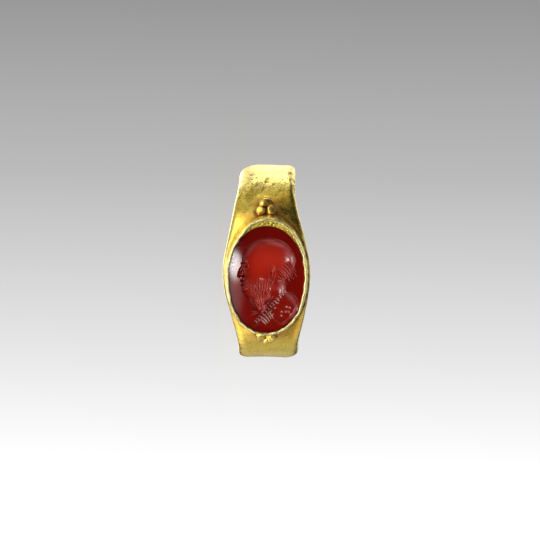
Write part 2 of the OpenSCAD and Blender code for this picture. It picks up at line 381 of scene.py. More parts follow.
# ---- the hoop, from a torus whose section is worked to the band's own
hoopPiece = addPrimitive(
    bpy.ops.mesh.primitive_torus_add, "hoop",
    major_segments=hoop["stations"], minor_segments=hoop["points"], major_radius=1, minor_radius=0.3,
)
angle, turn = torusAngles(hoopPiece, 1)
outerTurn, sideTurn = hoop["outerTurn"], hoop["sideTurn"]
onSkin = np.abs(turn) <= outerTurn
share = np.clip(turn / outerTurn, -1, 1)
f = share * (1 + hoop["edgeCrowding"] - hoop["edgeCrowding"] * share * share)
side = np.sign(turn + 1e-9)
edgeNoise = np.clip(0.5 + 0.5 * unevenness(angle, 0, *hoop["edgeWaves"]), 0, hoop["edgeWearMost"])
edgeNoise = edgeNoise * np.where(side > 0, 1, hoop["restingEdgeShare"])
edgeNoise *= hoop["calmEdgeShare"] + (1 - hoop["calmEdgeShare"]) * stretchAt(angle, *hoop["wornEdges"])
width = halfWidth(angle, side) - hoop["edgeWear"] * edgeNoise
skin = skinRadius(angle, f)
right = f * (width - hoop["sideBevel"] / 4)
dentDepth = hoop["dentDepth"] * (1 - 0.5 * stretchAt(angle, *hoop["smoothed"]))
for part, *waves in hoop["dents"]:
    skin += part * dentDepth * unevenness(angle, right, *waves)
skin -= hoop["edgeWear"] * edgeNoise * rise(np.abs(f), *hoop["edgeFrom"])
draw = np.random.default_rng(hoop["scatterSeed"])
pits = list(hoop["pits"])
for _ in range(hoop["scatteredPits"]):
    pitAngle = draw.uniform(*hoop["scatterAngles"])
    pitRight, pitRadius = draw.uniform(*hoop["scatterAcross"]), draw.uniform(*hoop["scatterRadii"])
    pitDepth = draw.uniform(*hoop["scatterDepths"])
    pits.append([pitAngle if pitAngle < 180 else pitAngle - 360, pitRight, pitRadius, pitDepth])
pitMask = np.zeros(len(skin))
for pitAngle, pitRight, pitRadius, pitDepth in pits:
    away = np.radians((angle - pitAngle + 180) % 360 - 180) * ring["hoopRadius"]
    hollow = np.exp(-(away ** 2 + (right - pitRight) ** 2) / pitRadius ** 2)
    skin -= pitDepth * hollow
    pitMask = np.maximum(pitMask, hollow * min(1, pitDepth / hoop["darkPitDepth"]))

# side walls and the finger's hole
down = np.clip((np.abs(turn) - outerTurn) / (sideTurn - outerTurn), 0, 1)
edgeSkin = skinRadius(angle, side) - hoop["edgeWear"] * edgeNoise
inBore = np.abs(turn) > sideTurn
onSide = ~onSkin & ~inBore
radius = np.where(onSide, edgeSkin + down * (ring["fingerRadius"] + hoop["holeClearance"] - edgeSkin), skin)
bulge = np.clip(down * 3, 0, 1) ** 0.5 * hoop["sideBevel"] / 4
bulge = bulge - rise(down, *hoop["sideBevelFrom"]) * hoop["sideBevel"]
right = np.where(onSide, side * (width - hoop["sideBevel"] / 4 + bulge), right)
low = -(halfWidth(angle, -1) - hoop["sideBevel"])
high = halfWidth(angle, 1) - hoop["sideBevel"]
through = ((turn % 360) - sideTurn) / (360 - 2 * sideTurn)
right = np.where(inBore, high + (low - high) * through, right)
radius = np.where(inBore, ring["fingerRadius"], radius)
towards, up = radius * np.cos(np.radians(angle)), radius * np.sin(np.radians(angle))

# a pocket under the stone
inside = ease(-(outsideCrest(right, up) + hoop["pocketInset"]) / hoop["pocketSlope"])
inside = inside * (np.abs(angle) < hoop["pocketEnd"]) * onSkin
pocket = np.sqrt(np.maximum(hoop["pocketRadius"] ** 2 - up * up, 0))
pocket = np.maximum(hoop["pocketLevel"] - hoop["pocketArch"] * up * up, pocket)
towards = towards + inside * (np.minimum(towards, pocket) - towards)
movePoints(hoopPiece, fromRing(towards, up, right))

# dirt and painted shade, and film: along the collar's foot, round the globules and in the pits
fromCollar = outsideCrest(right, up) - collar["lean"]
onFront = (np.abs(angle) < tarnish["frontEnd"]) & onSkin
grime = np.where(onFront, closeTo(fromCollar, tarnish["footReach"]), 0) * towardsFree(right)
film = np.where(onFront, tarnish["filmShare"] * closeTo(fromCollar, tarnish["filmReach"]), 0)
film = film * onShoulders(up)
for (gAngle, gRight, gLevel, gRadius), place in zip(globulePlaces(), globules["places"]):
    gTowards, gUp = gLevel * math.cos(math.radians(gAngle)), gLevel * math.sin(math.radians(gAngle))
    across, along = place[3:]
    away = np.sqrt((towards - gTowards) ** 2 + (up - gUp) ** 2 + ((right - gRight) / across) ** 2) - gRadius
    away -= 0.5 * (along - 1) * gRadius
    grime = np.maximum(grime, closeTo(away, tarnish["globuleReach"]))
    film = np.maximum(film, closeTo(away, tarnish["globuleFilmReach"]))
# the edges and the strap's top paler: wear and painted highlight
rubbedEdges = hoop["rubbedEdgeShare"] * rise(np.abs(f), *hoop["rubbedEdgeFrom"])
setMasks(
    hoopPiece, grime=grime, film=film,
    pits=pitMask * np.clip(1 - (np.abs(turn) - outerTurn) / hoop["pitFade"], 0, 1),
    pitted=stretchAt(angle, *hoop["pitted"]) * ~inBore + hoop["pittedElsewhere"],
    rubbed=np.maximum(rubbedEdges, hoop["rubbedShare"] * stretchAt(angle, *hoop["rubbed"])) * onSkin,
)
closeAndSmooth(hoopPiece, hoop["hardEdge"])
print("2. the hoop is worked")

# ---- the collar, from a torus: outer wall, crest, rubbed-over lip, seat
collarPiece = addPrimitive(
    bpy.ops.mesh.primitive_torus_add, "collar",
    major_segments=collar["sectors"], minor_segments=collar["points"], major_radius=1, minor_radius=0.3,
)
sector, turn = torusAngles(collarPiece, 1)
sector = sector % 360
row = np.rint((turn % 360) / 360 * collar["points"]) % collar["points"]
wallRows, crestRows, lipRows, seatRows = collar["rows"]
crestEnd, lipEnd = wallRows + crestRows, wallRows + crestRows + lipRows
seatEnd = lipEnd + seatRows
crestBump = collar["crestWave"] * ripple(sector, 0, collar["crestWaves"])
wobble = collar["wobble"] * ripple(sector, 0, collar["wobbleWaves"])
footRight, footUp = crestOval(sector, collar["lean"])
foot = np.sqrt(np.maximum(middleRadius ** 2 - footUp ** 2, 0))
half = collar["crest"] / 2
crestLevel = ring["crestLevel"] - half + crestBump
endRight, endUp = stoneOval(sector, collar["gap"])
innerRight, innerUp = crestOval(sector, wobble - 2 * half)
lipWidth = np.hypot(innerRight - endRight, innerUp - endUp)

onWall = row / wallRows
leanOut = collar["lean"] * (1 - np.minimum(onWall, 1)) + wobble * np.minimum(onWall, 1) ** 4
wallRight, wallUp = crestOval(sector, leanOut)
wallLevel = foot + (crestLevel - foot) * onWall
wallDent = collar["wallDent"] * unevenness(sector, onWall, *collar["wallWaves"])
wallDent = wallDent * np.sin(np.pi * np.clip(onWall, 0, 1))
about = np.pi * (row - wallRows) / crestRows  # half a turn over the crest
overRight, overUp = crestOval(sector, wobble - half + half * np.cos(about))
overLevel = crestLevel + half * np.sin(about)
onLip = np.clip((row - crestEnd) / lipRows, 0, 1)
lipRight, lipUp = innerRight + (endRight - innerRight) * onLip, innerUp + (endUp - innerUp) * onLip
marks = unevenness(sector, onLip, *collar["lipWaves"])
markShare = np.minimum(1, lipWidth / collar["wideLip"])
lipLevel = crestLevel + (ring["stoneEdgeLevel"] + collar["lipEnd"] - crestLevel) * onLip
lipLevel = lipLevel + collar["lipWave"] * marks * np.sin(np.pi * onLip) * markShare
onSeat = np.clip((row - lipEnd) / seatRows, 0, 1)
seatLevel = ring["stoneEdgeLevel"] - collar["seatDepth"] * onSeat
onBack = np.clip((row - seatEnd) / (collar["points"] - seatEnd), 0, 1)
backRight, backUp = endRight + (footRight - endRight) * onBack, endUp + (footUp - endUp) * onBack
seatFoot = ring["stoneEdgeLevel"] - collar["seatDepth"]
backLevel = seatFoot + (foot - ring["stoneEdgeLevel"] + collar["seatDepth"]) * onBack
backLevel = np.minimum(backLevel, np.maximum(foot, collar["backLevel"]))

steps = [row < wallRows, row < crestEnd, row < lipEnd, row < seatEnd]
right = np.select(steps, [wallRight, overRight, lipRight, endRight], backRight)
up = np.select(steps, [wallUp, overUp, lipUp, endUp], backUp)
towards = np.select(steps, [wallLevel + wallDent, overLevel, lipLevel, seatLevel], backLevel)
movePoints(collarPiece, fromRing(towards, up, right))
roundAngle = np.degrees(np.arctan2(up, towards))
f = np.clip(right / halfWidth(roundAngle, right), -1, 1)
aboveHoop = np.hypot(towards, up) - skinRadius(roundAngle, f)
# dirt and painted shade at the foot of the collar's wall, weaker on the resting side, and on the lip beside
# the stone
wallGrime = (row < wallRows) * closeTo(aboveHoop, tarnish["wallReach"]) * towardsFree(right)
lipGrime = rise(onLip, *collar["lipGrimeFrom"]) * collar["lipGrime"]
film = (row < wallRows) * closeTo(aboveHoop, tarnish["wallFilmReach"]) * tarnish["wallFilmShare"]
notches = collar["notchAtCrest"] * ease(1 - onLip / collar["notchReach"])
notches = ease(-marks - collar["notchLevel"] + notches) * markShare * (onLip > 0) * (onLip < 1)
# the crest paler: wear and painted highlight
onCrest = np.clip((row - wallRows) / crestRows, 0, 1)
setMasks(
    collarPiece, grime=np.maximum(wallGrime, lipGrime), film=film * onShoulders(up),
    pits=notches, pitted=row * 0, rubbed=np.sin(np.pi * onCrest) ** 0.5,
)
closeAndSmooth(collarPiece, collar["hardEdge"])
print("3. the collar is raised")

# ---- the globules, one sphere rubbed flat on top, copied to each place
ball = addPrimitive(bpy.ops.mesh.primitive_uv_sphere_add, "globules", segments=40, ring_count=26, radius=1)
ballPoints = pointsOf(ball)
balls = []
for number, (gAngle, gRight, gLevel, gRadius) in enumerate(globulePlaces()):
    copy = ball.copy()
    copy.data = ball.data.copy()
    bpy.context.collection.objects.link(copy)
    x, y, z = ballPoints.T
    for facet in range(globules["facets"]):
        slant = globules["sideSlant"] if facet else globules["topSlant"]
        spin = facet * globules["facetStep"] + number * globules["ballStep"]
        flat = np.array([math.sin(slant) * math.cos(spin), math.sin(slant) * math.sin(spin), math.cos(slant)])
        level = globules["worn"] + (globules["sidesWorn"] if facet else 0)
        level = level + globules["wornWave"] * math.sin(2.3 * spin)
        over = np.maximum(x * flat[0] + y * flat[1] + z * flat[2] - level, 0) * globules["wornShare"]
        x, y, z = x - over * flat[0], y - over * flat[1], z - over * flat[2]
    large, small = globules["lumps"]
    lump = 1 + large * np.sin(3.1 * x + 2.3 * y + number) + small * np.sin(4.7 * y - 3.9 * z + 2 * number)
    across, along = globules["places"][number][3:]
    x, y, z = x * lump * across, y * lump * along, z * lump * globules["flat"]
    c, s = math.cos(math.radians(gAngle)), math.sin(math.radians(gAngle))
    outward, ahead = gLevel + gRadius * z, gRadius * y
    movePoints(copy, fromRing(outward * c - ahead * s, outward * s + ahead * c, gRight + gRadius * x))
    # dirt and painted shade on each globule's lower side, more of it towards the free side
    level, slantAcross, slantAlong, fade = globules["crevice"]
    grime = ease((level + slantAcross * x + slantAlong * y - z) / fade)
    level, slantAcross, fade, part = globules["film"]
    film = ease((level + slantAcross * x - z) / fade) * part
    # the top paler: wear and painted highlight
    level, fade, part = globules["rubbed"]
    setMasks(copy, grime=grime, film=film, pits=z * 0, pitted=z * 0, rubbed=rise(z, level, fade) * part)
    balls.append(copy)
bpy.data.objects.remove(ball)
bpy.ops.object.select_all(action="DESELECT")
for copy in balls:
    copy.select_set(True)
bpy.context.view_layer.objects.active = balls[0]
bpy.ops.object.join()
globulePiece = bpy.context.object
globulePiece.name = globulePiece.data.name = "globules"
closeAndSmooth(globulePiece, globules["hardEdge"])
print("4. the globules are soldered on")

# ---- the stone, from a sphere: domed face with the bust cut into it, side and flat back
stone = {
    "segments": 600,
    "rings": 158,
    "faceShare": 0.9,  # share of the rings that lie on the face
    "backShrink": 0.05,  # the back is smaller by this share
    "sharpness": 7,  # of the creases where two cuts meet
    "margin": 0.09,  # nothing is cut at the very edge
    "fullCut": 0.6,  # a cut this deep has all of the cuts' colour
    "fullFineCut": 0.14,
    "mattBelow": -2,  # drill marks are matt, and painted pale as glints, below this height
    "jitter": 0.05,  # of the strokes in a comb
    "scuffed": (163, 17),  # middle and reach of the painted glint, degrees round
    "scuffFrom": (0.80, 0.12),
    "hardEdge": 70,
    # each cut: place right and up from the middle, half length, half width, turn, depth
    "head": [
        [0.24, 2.05, 2.98, 2.64, 0, 0.60], [-0.75, 2.20, 1.80, 1.95, 24, 0.56],
        [-1.30, 1.62, 1.46, 2.00, 6, 0.52], [-1.25, 0.20, 1.45, 1.50, 0, 0.46],
        [-0.30, -0.70, 1.90, 1.25, -20, 0.44], [0.85, -0.85, 1.25, 1.85, 6, 0.35],
    ],
    "face": [
        [-2.42, 1.92, 0.52, 0.17, 12, 0.52], [-2.92, 0.98, 0.80, 0.22, 66, 0.38],
        [-3.04, 0.40, 0.24, 0.20, 0, 0.38], [-2.60, 0.36, 0.20, 0.17, 0, 0.50],
        [-2.22, 1.40, 0.23, 0.16, 4, 0.64], [-2.66, -0.20, 0.33, 0.14, -18, 0.44],
        [-2.64, -0.62, 0.27, 0.15, 6, 0.43], [-2.42, -1.20, 0.36, 0.36, 0, 0.42],
    ],
    "beard": [
        [-1.75, -1.15, 1.35, 0.95, -62, 0.46], [-1.10, -2.15, 1.75, 0.90, -68, 0.44],
        [-0.20, -1.45, 1.35, 0.85, -95, 0.46],
    ],
    "ear": [
        [0.62, 1.20, 0.30, 0.50, 0, 0.71], [0.52, 0.64, 0.18, 0.16, 0, 0.75],
    ],
    "dress": [
        [1.85, -3.90, 1.75, 2.60, 0, 0.30], [0.90, -4.30, 2.70, 1.36, 44, 0.20],
        [0.42, -3.12, 2.50, 0.13, 46, 0.40], [0.02, -2.58, 1.45, 0.10, 42, 0.38],
    ],
    # combs of strokes: the first stroke (from right, up, to right, up), the last one the same way,
    # how many, bow, half width, depth
    "combs": [
        [-1.95, -0.75, -1.80, -2.00, 0.95, 0.55, 0.25, -1.30, 9, 0.10, 0.125, 0.17],
        [-1.85, -1.70, -1.00, -3.15, 0.35, -0.75, -0.32, -2.75, 7, 0.08, 0.120, 0.17],
        [-1.35, -2.55, -0.85, -3.55, -0.45, -2.15, -0.60, -3.45, 4, 0.06, 0.100, 0.13],
        [-2.52, -0.18, -1.82, -0.98, -2.05, 0.05, -1.40, -0.70, 5, -0.12, 0.070, 0.09],
        [0.95, 0.90, 1.95, -0.30, 2.30, 1.85, 3.35, 0.62, 8, 0.10, 0.085, 0.14],
        [1.30, 0.30, 2.30, -0.55, 2.20, 1.10, 3.45, 0.10, 4, 0.12, 0.065, 0.12],
    ],
    # the same for what is cut into the dress, left matt and painted pale as glints
    "trim": [
        [-0.66, -4.40, -0.08, -5.15, 0.20, -3.70, 0.80, -4.62, 5, 0.02, 0.085, 0.10],
        [-1.42, -4.72, -1.02, -5.02, 1.86, -1.20, 2.22, -1.62, 13, 0.05, 0.090, 0.11],
        [0.10, -4.10, 0.62, -3.62, 0.38, -4.42, 0.92, -3.95, 2, 0.03, 0.070, 0.09],
    ],
    # single strokes: from right, up, to right, up, bow, half width, depth
    "strokes": [
        [-2.48, 1.62, -1.98, 1.55, 0.07, 0.050, 0.07], [-2.46, 1.17, -2.02, 1.20, -0.05, 0.045, 0.06],
        [-2.72, 1.98, -1.85, 2.02, 0.10, 0.075, 0.08], [-2.70, 0.22, -2.38, 0.62, 0.10, 0.050, 0.07],
        [-2.62, -0.46, -2.12, -0.52, -0.03, 0.040, -0.08], [0.42, 1.65, 0.86, 0.82, 0.22, 0.060, 0.09],
        [0.50, 1.40, 0.66, 0.92, 0.10, 0.045, -0.07], [-1.90, -3.55, -1.00, -3.62, -0.14, 0.060, 0.10],
        [2.13, -1.34, 3.54, -3.16, 0.45, 0.070, 0.13], [0.67, -4.60, 1.50, -5.20, 0.02, 0.045, 0.09],
        [-1.75, -4.05, -0.75, -3.75, 0.06, 0.045, 0.08],
    ],
    # round drill marks: right, up, radius, depth
    "drills": [
        [2.25, -3.16, 0.12, 0.14], [2.58, -3.27, 0.12, 0.14], [2.13, -3.73, 0.11, 0.13],
        [2.46, -3.75, 0.10, 0.12], [1.68, -3.73, 0.12, 0.14], [1.63, -4.18, 0.11, 0.13],
        [2.70, -4.02, 0.10, 0.11], [0.95, -3.30, 0.10, 0.12], [1.30, -2.72, 0.09, 0.11],
        [-2.22, 1.38, 0.09, 0.10], [-2.60, 0.34, 0.06, 0.08],
    ],
}


def strokeDepth(right, up, x0, y0, x1, y1, bow, width, deep):
    length = math.hypot(x1 - x0, y1 - y0)
    ux, uy = (x1 - x0) / length, (y1 - y0) / length
    t = ((right - x0) * ux + (up - y0) * uy) / length
    off = (up - y0) * ux - (right - x0) * uy - bow * 4 * t * (1 - t)
    taper = np.clip(4 * t * (1 - t), 0, 1) ** 0.75
    return deep * taper * np.clip(1 - (off / (width * np.maximum(taper, 0.05))) ** 2, 0, 1) ** 0.75


def engraving(right, up):
    total = np.zeros(len(right))
    for name in ("head", "face", "beard", "ear", "dress"):
        for x, y, long, wide, turned, deep in stone[name]:
            c, s = math.cos(math.radians(turned)), math.sin(math.radians(turned))
            along = ((right - x) * c + (up - y) * s) / long
            off = ((up - y) * c - (right - x) * s) / wide
            total += (deep * np.sqrt(np.clip(1 - along ** 2 - off ** 2, 0, 1))) ** stone["sharpness"]
    depth = total ** (1 / stone["sharpness"])
    fine, matt = np.zeros(len(right)), np.zeros(len(right))
    for comb in stone["combs"] + stone["trim"]:
        first, last, count, (bow, width, deep) = comb[:4], comb[4:8], comb[8], comb[9:]
        for i in range(count):
            p = i / (count - 1)
            x0, y0, x1, y1 = (a + p * (b - a) for a, b in zip(first, last))
            jitter = stone["jitter"] * math.sin(5.3 * i + count)
            raised = 2 * jitter * math.hypot(x1 - x0, y1 - y0)
            cutIn = strokeDepth(
                right, up, x0 + jitter, y0 + raised, x1 - jitter, y1 + raised,
                bow, width * (1 - 4 * jitter), deep * (1 + 5 * jitter)
            )
            fine = np.maximum(fine, cutIn)
            if comb in stone["trim"]:
                matt = np.maximum(matt, cutIn / deep)
    for stroke in stone["strokes"]:
        fine += strokeDepth(right, up, *stroke)
    for x, y, r, deep in stone["drills"]:
        hole = np.sqrt(np.clip(1 - ((right - x) ** 2 + (up - y) ** 2) / r ** 2, 0, 1))
        fine += deep * hole
        matt = np.maximum(matt, hole * (y < stone["mattBelow"]))
    return depth, fine, matt


stonePiece = addPrimitive(
    bpy.ops.mesh.primitive_uv_sphere_add, "stone",
    segments=stone["segments"], ring_count=stone["rings"], radius=1,
)
x, y, z = pointsOf(stonePiece).T
sector = np.degrees(np.arctan2(y, x)) % 360
down = np.degrees(np.arccos(np.clip(z, -1, 1))) / 180
s = np.clip(down / stone["faceShare"], 0, 1)  # 0 in the middle of the face, 1 at its rim
s = np.where(s > 0.999, 1, s)
ovalRight, ovalUp = oval(sector, ring["stoneAcross"], ring["stoneAlong"], ring["stoneSquareness"])
right, up = ovalRight * s, ovalUp * s
depth, fine, matt = engraving(right, up)
rim = np.clip((1 - s) / stone["margin"], 0, 1)
towards = ring["stoneEdgeLevel"] + ring["stoneDome"] * (1 - s * s) - rim * (depth + fine)
behind = np.clip((down - stone["faceShare"]) / (1 - stone["faceShare"]), 0, 1)
sideShare, backShare = np.clip(behind * 2, 0, 1), np.clip(behind * 2 - 1, 0, 1)
shrink = (1 - stone["backShrink"] * sideShare) * (1 - backShare)
right, up = np.where(behind > 0, ovalRight * shrink, right), np.where(behind > 0, ovalUp * shrink, up)
sideLevel = ring["stoneEdgeLevel"] + (ring["stoneBackLevel"] - ring["stoneEdgeLevel"]) * sideShare
towards = np.where(behind > 0, sideLevel, towards)
movePoints(stonePiece, fromRing(towards, up - ring["stoneShift"], right))
onFace = behind <= 0
# painted reflection: a pale mottled patch for the white glint on the rim at the upper left
middle, reach = stone["scuffed"]
scuffed = ease(1 - np.abs(sector - middle) / reach) * rise(s, *stone["scuffFrom"])
setMasks(
    stonePiece, cut=onFace * rim * depth / stone["fullCut"],
    fineCut=onFace * rim * np.abs(fine) / stone["fullFineCut"],
    matt=onFace * rim * matt, scuff=onFace * scuffed,
)
closeAndSmooth(stonePiece, stone["hardEdge"])
print("5. the stone is engraved")


# ---- node helpers
def setInputs(tree, node, values):  # a value is a number, a colour or an output to link
    for key, value in values.items():
        if isinstance(value, bpy.types.NodeSocket):
            tree.links.new(value, node.inputs[key])
        else:
            node.inputs[key].default_value = value


def addNode(tree, kind, values=None, **settings):
    made = tree.nodes.new(kind)
    made.location = 240 * (len(tree.nodes) // 5), -260 * (len(tree.nodes) % 5)  # in columns
    for key, value in settings.items():
        setattr(made, key, value)
    setInputs(tree, made, values or {})
    return made


def calculate(tree, operation, *values):
    return addNode(tree, "ShaderNodeMath", dict(enumerate(values)), operation=operation).outputs["Value"]


def mixColours(tree, mask, *colours):
    first, second = ((*colour, 1) if isinstance(colour, tuple) else colour for colour in colours)
    values = {"Factor": mask, "A": first, "B": second}
    return addNode(tree, "ShaderNodeMix", values, data_type="RGBA").outputs["Result"]


def startGroup(name, **numbers):  # takes a vector and some numbers, gives a mask
    group = bpy.data.node_groups.new(name, "ShaderNodeTree")
    group.interface.new_socket(name="Vector", in_out="INPUT", socket_type="NodeSocketVector")
    for label, value in numbers.items():
        socket = group.interface.new_socket(name=label, in_out="INPUT", socket_type="NodeSocketFloat")
        socket.default_value = value
    group.interface.new_socket(name="Mask", in_out="OUTPUT", socket_type="NodeSocketFloat")
    start, end = addNode(group, "NodeGroupInput"), addNode(group, "NodeGroupOutput")
    return group, start.outputs, end


def scratchGroup():  # thin hairlines in two directions
    group, given, end = startGroup("hairlines", Scale=1000.0)
    masks = []
    for turned in (0.5, 2.1):
        spread = addNode(group, "ShaderNodeMapping", {
            "Vector": given["Vector"], "Rotation": (turned, turned * 0.7, turned), "Scale": (1, 0.06, 0.06),
        })
        noise = addNode(group, "ShaderNodeTexNoise", {
            "Vector": spread.outputs["Vector"], "Scale": given["Scale"], "Detail": 2.0, "Roughness": 0.4,
        })
        thin = addNode(group, "ShaderNodeMapRange", {
            "Value": noise.outputs["Fac"], "From Min": 0.62, "From Max": 0.72,
        })
        masks.append(thin.outputs["Result"])
    setInputs(group, end, {"Mask": calculate(group, "MAXIMUM", *masks)})
    return group


def blotchGroup():  # uneven patches, such as tarnish, dust or colour in a stone
    group, given, end = startGroup("blotches", Scale=300.0, Low=0.35, High=0.65)
    noise = addNode(group, "ShaderNodeTexNoise", {
        "Vector": given["Vector"], "Scale": given["Scale"],
        "Detail": 6.0, "Roughness": 0.62, "Distortion": 0.3,
    })
    spread = addNode(group, "ShaderNodeMapRange", {
        "Value": noise.outputs["Fac"], "From Min": given["Low"], "From Max": given["High"],
    }, interpolation_type="SMOOTHSTEP")
    setInputs(group, end, {"Mask": spread.outputs["Result"]})
    return group


def speckGroup():  # small round pits, some of a regular scatter left out
    group, given, end = startGroup("specks", Scale=2600.0)
    cells = addNode(group, "ShaderNodeTexVoronoi", {"Vector": given["Vector"], "Scale": given["Scale"]})
    dot = addNode(group, "ShaderNodeMapRange", {
        "Value": cells.outputs["Distance"], "From Min": 0.30, "From Max": 0.16,
    }, interpolation_type="SMOOTHSTEP")
    parts = addNode(group, "ShaderNodeSeparateColor", {"Color": cells.outputs["Color"]})
    kept = calculate(group, "GREATER_THAN", parts.outputs["Red"], 0.45)
    setInputs(group, end, {"Mask": calculate(group, "MULTIPLY", dot.outputs["Result"], kept)})
    return group


hairlines, blotches, specks = scratchGroup(), blotchGroup(), speckGroup()


def placeGroup(tree, group, point, values):
    return addNode(tree, "ShaderNodeGroup", {"Vector": point, **values}, node_tree=group).outputs["Mask"]


def startMaterial(name):
    made = bpy.data.materials.new(name)
    made.use_nodes = True
    tree = made.node_tree
    tree.nodes.clear()
    shader = addNode(tree, "ShaderNodeBsdfPrincipled")
    addNode(tree, "ShaderNodeOutputMaterial", {"Surface": shader.outputs["BSDF"]})
    return made, tree, shader, addNode(tree, "ShaderNodeTexCoord").outputs["Object"]


def masksOf(tree, *names):
    return [addNode(tree, "ShaderNodeAttribute", attribute_name=name).outputs["Fac"] for name in names]


# ---- gold: worn on the hoop, rubbed over on the collar, softer on the globules
gold = {
    "pale": (1.0, 0.77, 0.135),
    "deep": (0.94, 0.65, 0.075),
    # paler gold where rubbed: wear and painted highlight
    "rubbed": (1.0, 0.91, 0.44),
    "film": (0.80, 0.38, 0.06),
    # dark brown for dirt, pits and specks, and painted shade in the corners
    "grime": (0.15, 0.046, 0.014),
    # roughness, how much it varies, and how much it changes where the gold is rubbed and painted paler as a
    # highlight
    "finishes": {
        "wornGold": (0.26, 0.08, -0.08), "rubbedGold": (0.22, 0.10, 0.13), "globuleGold": (0.28, 0.08, 0.0),
    },
    # patterns: how fine, and the noise's levels between which a patch sets in
    "wide": {"Scale": 260.0, "Low": 0.36, "High": 0.66},
    "small": {"Scale": 1500.0, "Low": 0.40, "High": 0.62},
    "grain": {"Scale": 5200.0, "Low": 0.30, "High": 0.70},
    "lines": {"Scale": 2600.0},
    "specks": {"Scale": 2700.0},
    "filmOnPale": 0.25,  # share of the film where the gold is pale
    "dirtUneven": (0.4, 0.6),  # how much the small patches add to the dirt and painted shade, and what is there anyway
    "dirtRougher": 0.4,
    "dirtLessMetal": 0.4,
    # share of each pattern in the height, and how strongly that bends the light
    "smallHeight": 0.9,
    "linesHeight": -0.35,
    "grainHeight": 0.35,
    "bump": {"Strength": 0.22, "Distance": 0.00004},
}


def goldMaterial(name):
    plain, uneven, whereRubbed = gold["finishes"][name]
    made, tree, shader, point = startMaterial(name)
    wide = placeGroup(tree, blotches, point, gold["wide"])
    small = placeGroup(tree, blotches, point, gold["small"])
    lines = placeGroup(tree, hairlines, point, gold["lines"])
    grime, film, pit, rubbed, pitted = masksOf(tree, "grime", "film", "pits", "rubbed", "pitted")
    colour = mixColours(tree, wide, gold["pale"], gold["deep"])
    # paler where rubbed: wear and painted highlight
    colour = mixColours(tree, rubbed, colour, gold["rubbed"])
    filmed = calculate(tree, "MULTIPLY", film, calculate(tree, "ADD", wide, gold["filmOnPale"]))
    colour = mixColours(tree, filmed, colour, gold["film"])
    speckled = calculate(tree, "MULTIPLY", placeGroup(tree, specks, point, gold["specks"]), pitted)
    # dirt and painted shade: the corners' dark, pits and specks
    dirt = calculate(tree, "MAXIMUM", grime, calculate(tree, "MAXIMUM", pit, speckled))
    patchy = calculate(tree, "MULTIPLY_ADD", small, *gold["dirtUneven"])
    dirt = calculate(tree, "MULTIPLY", dirt, patchy)
    dirt = calculate(tree, "MINIMUM", dirt, 1.0)
    colour = mixColours(tree, dirt, colour, gold["grime"])
    rough = calculate(tree, "MULTIPLY_ADD", small, uneven, plain)
    rough = calculate(tree, "MULTIPLY_ADD", rubbed, whereRubbed, rough)
    rough = calculate(tree, "MULTIPLY_ADD", dirt, gold["dirtRougher"], rough)
    metal = calculate(tree, "MULTIPLY_ADD", dirt, -gold["dirtLessMetal"], 1.0)
    grain = placeGroup(tree, blotches, point, gold["grain"])
    height = calculate(tree, "MULTIPLY", grain, gold["grainHeight"])
    height = calculate(tree, "MULTIPLY_ADD", lines, gold["linesHeight"], height)
    height = calculate(tree, "MULTIPLY_ADD", small, gold["smallHeight"], height)
    bump = addNode(tree, "ShaderNodeBump", {"Height": height, **gold["bump"]})
    setInputs(tree, shader, {
        "Base Color": colour, "Roughness": rough, "Metallic": metal, "Normal": bump.outputs["Normal"],
    })
    return made


# ---- carnelian: dark red, lighter where it is cut deep
carnelian = {
    "dark": (0.17, 0.003, 0.0015),
    "light": (0.27, 0.005, 0.0022),
    "cut": (0.58, 0.022, 0.008),
    # pink in the fine strokes: a lighter cut, partly painted highlight
    "fine": (0.66, 0.10, 0.065),
    # pale in the trim and drill marks: matt floors, partly painted glint
    "matt": (0.92, 0.66, 0.58),
    "scuff": (0.80, 0.62, 0.62),  # painted reflection: the white glint on the stone's edge at the upper left
    "cloud": {"Scale": 170.0, "Low": 0.30, "High": 0.72},
    "lines": {"Scale": 3000.0},
    "scuffPattern": {"Scale": 2200.0, "Low": 0.46, "High": 0.60},
    "cutPower": 1.6,  # shallow cuts are lighter by less than their share
    "fineShare": 0.6,
    "mattShare": 0.8,
    "roughness": 0.07,
    "cutRougher": 0.09,
    "linesRougher": 0.05,
    "refraction": 1.54,
    "specular": 0.45,
    "bump": {"Strength": 0.04, "Distance": 0.00001},
}


